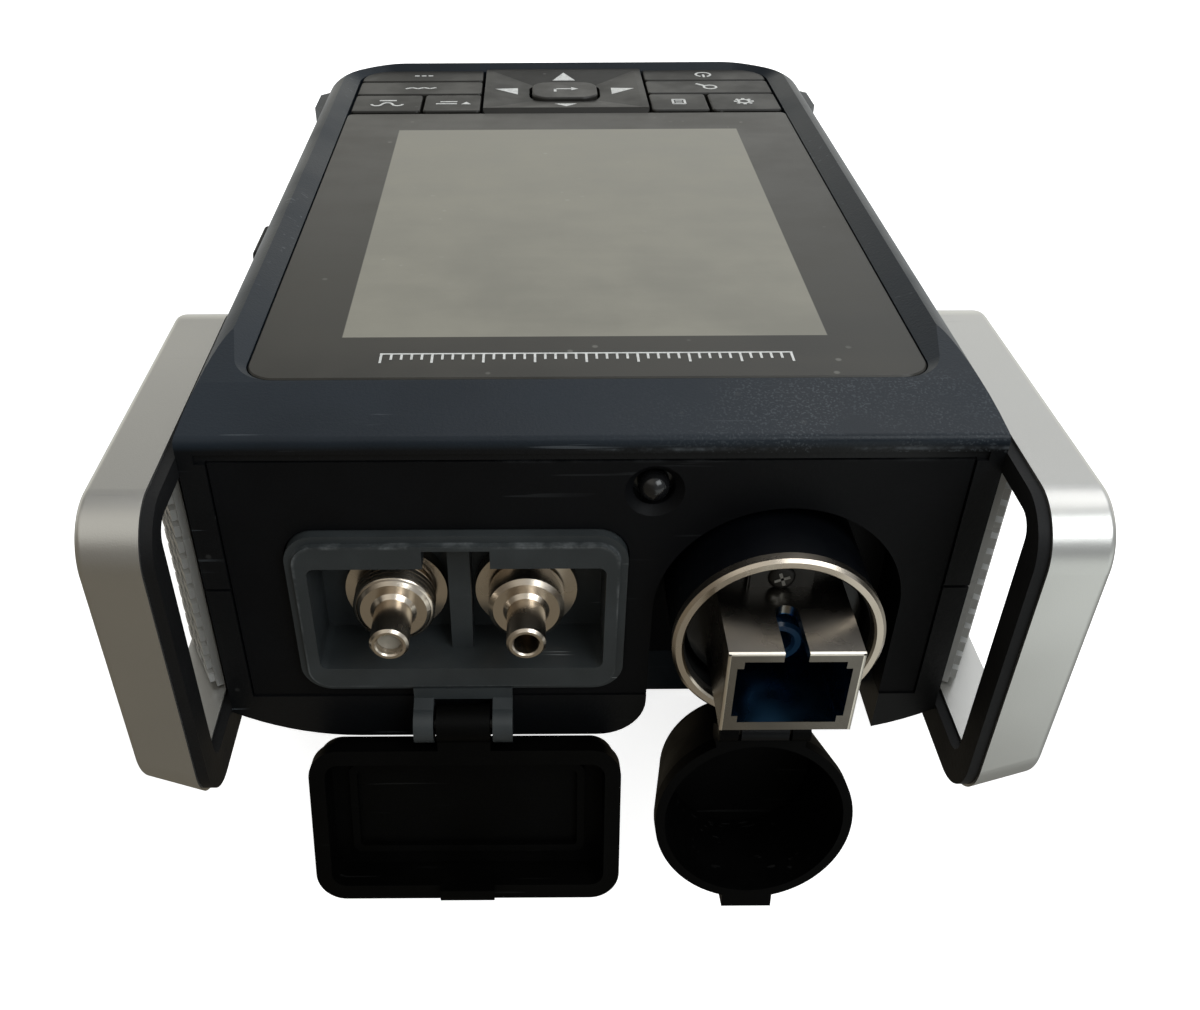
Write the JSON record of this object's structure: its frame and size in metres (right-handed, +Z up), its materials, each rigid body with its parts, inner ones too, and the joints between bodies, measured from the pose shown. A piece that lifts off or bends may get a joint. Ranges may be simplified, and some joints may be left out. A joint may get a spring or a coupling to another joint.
{
  "type": "optical time domain reflectometer",
  "caption": "Hand-held fibre-optic test instrument with a large display, a keypad, finger guards and covered optical ports.",
  "frame": {"origin": "on the flat underside, on the middle plane of the case, 57 mm behind its port end", "axes": "+Z up from the underside, +Y from the port end to the keypad end, +X to the right of someone facing the ports"},
  "size_m": [0.0884, 0.1283, 0.057],
  "materials": {
    "case_plastic": "fine matt texture",
    "panel_plastic": "satin black",
    "frame_plastic": "matt dark grey",
    "window_glass": "anti-glare coated",
    "lcd": "satin",
    "black_rubber": "matt",
    "circuit_board": "solder resist",
    "steel": "plated",
    "nickel": "nickel plated",
    "sleeve_bronze": "bare bronze",
    "lens_plastic": "clear",
    "collar_plastic": "satin",
    "plate_metal": "dark anodised",
    "lid_plastic": "satin",
    "clear_plastic": "clear",
    "guard_silver": "satin silver",
    "module_can": "bare",
    "cell_can": "shrink wrapped",
    "key_plastic": "satin",
    "enter_plastic": "satin"
  },
  "bodies": {
    "case": {"upper_case": "case_plastic", "lower_case": "case_plastic", "end_panel": "panel_plastic", "display_glass": "window_glass", "lcd_module": "lcd", "keypad_mat": "black_rubber", "key_board": "circuit_board", "port_frame": "frame_plastic", "lid_pin": "steel", "threaded_adapter": "nickel", "plain_adapter": "nickel", "adapter_lens": "lens_plastic", "adapter_nuts": "nickel", "sc_collar": "collar_plastic", "sc_trim_ring": "nickel", "sc_plate": "plate_metal", "sc_adapter": "nickel", "sc_sleeve": "sleeve_bronze", "sc_screws": "steel", "cap_pin": "steel", "torch_led": "clear_plastic", "guard_right": "guard_silver", "guard_left": "guard_silver", "guard_liner_right": "black_rubber", "guard_liner_left": "black_rubber", "guard_grip_right": "guard_silver", "guard_grip_left": "guard_silver", "guard_screws": "steel", "main_board": "circuit_board", "optical_module": "module_can", "meter_module": "module_can", "case_screws": "steel", "cover_screws": "steel", "battery_cover": "case_plastic", "battery_pack": "cell_can", "charge_socket": "steel"},
    "port_lid": {"port_lid": "lid_plastic"},
    "round_cap": {"round_cap": "lid_plastic"},
    "port_flap": {"port_flap": "black_rubber"},
    "pad_rocker": {"pad_rocker": "collar_plastic"},
    "direction_pad": {"direction_pad": "key_plastic"},
    "key_left_near_outer": {"key_left_near_outer": "key_plastic"},
    "key_left_near_inner": {"key_left_near_inner": "key_plastic"},
    "key_right_near_inner": {"key_right_near_inner": "key_plastic"},
    "key_right_near_outer": {"key_right_near_outer": "key_plastic"},
    "key_left_mid": {"key_left_mid": "key_plastic"},
    "key_right_mid": {"key_right_mid": "key_plastic"},
    "key_left_far": {"key_left_far": "key_plastic"},
    "key_right_far": {"key_right_far": "key_plastic"},
    "enter_key": {"enter_key": "enter_plastic"}
  },
  "joints": [
    {"name": "port_lid_hinge", "type": "hinge", "parent": "case", "child": "port_lid", "pos_m": [-0.01265, -0.0596, 0.00445], "axis": [1, 0, 0], "range_deg": [-163, 0.5]},
    {"name": "round_cap_hinge", "type": "hinge", "parent": "case", "child": "round_cap", "pos_m": [0.01795, -0.0631, 0.0068], "axis": [1, 0, 0], "range_deg": [-168, 4]},
    {"name": "port_flap_hinge", "type": "hinge", "parent": "case", "child": "port_flap", "pos_m": [-0.03842, -0.007, 0.0352], "axis": [0, 1, 0], "range_deg": [0, 110], "stiffness_Nm_per_rad": 0.002},
    {"name": "pad_pitch", "type": "hinge", "parent": "case", "child": "pad_rocker", "pos_m": [0, 0.04405, 0.0374], "axis": [1, 0, 0], "range_deg": [-1.8, 1.8], "stiffness_Nm_per_rad": 0.05},
    {"name": "pad_roll", "type": "hinge", "parent": "pad_rocker", "child": "direction_pad", "pos_m": [0, 0.04405, 0.0374], "axis": [0, 1, 0], "range_deg": [-1.8, 1.8], "stiffness_Nm_per_rad": 0.05},
    {"name": "key_left_near_outer_press", "type": "slide", "parent": "case", "child": "key_left_near_outer", "axis": [0, 0, -1], "range_m": [0, 0.0004], "stiffness_N_per_m": 200, "springref_m": -0.0005},
    {"name": "key_left_near_inner_press", "type": "slide", "parent": "case", "child": "key_left_near_inner", "axis": [0, 0, -1], "range_m": [0, 0.0004], "stiffness_N_per_m": 200, "springref_m": -0.0005},
    {"name": "key_right_near_inner_press", "type": "slide", "parent": "case", "child": "key_right_near_inner", "axis": [0, 0, -1], "range_m": [0, 0.0004], "stiffness_N_per_m": 200, "springref_m": -0.0005},
    {"name": "key_right_near_outer_press", "type": "slide", "parent": "case", "child": "key_right_near_outer", "axis": [0, 0, -1], "range_m": [0, 0.0004], "stiffness_N_per_m": 200, "springref_m": -0.0005},
    {"name": "key_left_mid_press", "type": "slide", "parent": "case", "child": "key_left_mid", "axis": [0, 0, -1], "range_m": [0, 0.0004], "stiffness_N_per_m": 200, "springref_m": -0.0005},
    {"name": "key_right_mid_press", "type": "slide", "parent": "case", "child": "key_right_mid", "axis": [0, 0, -1], "range_m": [0, 0.0004], "stiffness_N_per_m": 200, "springref_m": -0.0005},
    {"name": "key_left_far_press", "type": "slide", "parent": "case", "child": "key_left_far", "axis": [0, 0, -1], "range_m": [0, 0.0004], "stiffness_N_per_m": 200, "springref_m": -0.0005},
    {"name": "key_right_far_press", "type": "slide", "parent": "case", "child": "key_right_far", "axis": [0, 0, -1], "range_m": [0, 0.0004], "stiffness_N_per_m": 200, "springref_m": -0.0005},
    {"name": "enter_key_press", "type": "slide", "parent": "case", "child": "enter_key", "axis": [0, 0, -1], "range_m": [0, 0.0004], "stiffness_N_per_m": 200, "springref_m": -0.0005}
  ]
}
